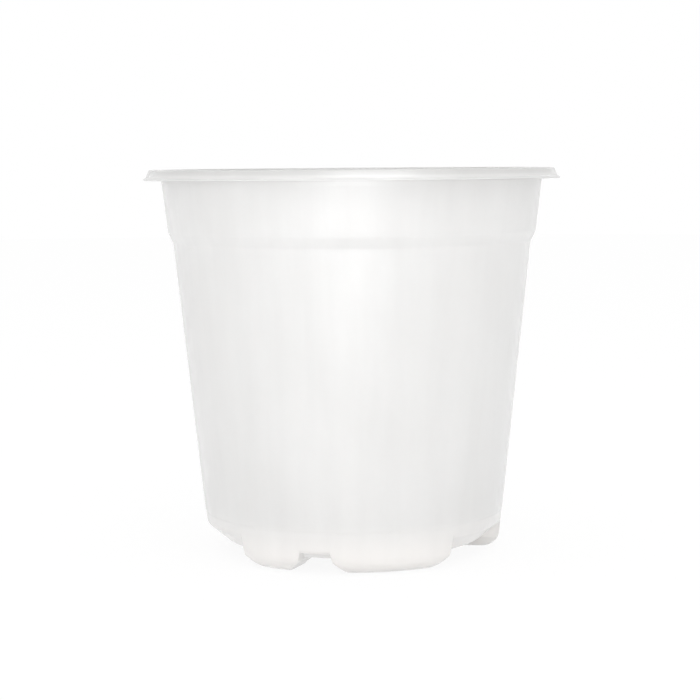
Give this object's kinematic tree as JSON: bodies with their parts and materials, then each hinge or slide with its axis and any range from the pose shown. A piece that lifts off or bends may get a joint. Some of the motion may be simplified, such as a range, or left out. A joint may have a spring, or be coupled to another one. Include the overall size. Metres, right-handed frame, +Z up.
{
  "type": "orchid pot",
  "caption": "Round frosted-plastic orchid pot with a down-turned rim, a stepped collar, a gently tapered wall and a slotted, raised floor on hollow moulded feet.",
  "frame": {"origin": "on the pot's axis, level with the soles of the feet", "axes": "+Z up along the pot's axis; -Y through the middle of the gap between the two wide feet; +X to the right seen from there"},
  "size_m": [0.15, 0.15, 0.1384],
  "materials": {
    "frosted_plastic": "satin, natural uncoloured polypropylene, milky and see-through against the light"
  },
  "bodies": {
    "root": {"rim_flange": "frosted_plastic", "rim_skirt": "frosted_plastic", "collar": "frosted_plastic", "shoulder": "frosted_plastic", "side_wall": "frosted_plastic", "heel_band": "frosted_plastic", "foot_wide_right": "frosted_plastic", "foot_narrow_right": "frosted_plastic", "foot_wide_left": "frosted_plastic", "foot_narrow_left": "frosted_plastic", "foot_narrow_back": "frosted_plastic", "front_panel": "frosted_plastic", "notch_panel_right": "frosted_plastic", "back_panel_right": "frosted_plastic", "notch_panel_left": "frosted_plastic", "back_panel_left": "frosted_plastic", "floor_plate": "frosted_plastic"}
  },
  "joints": []
}
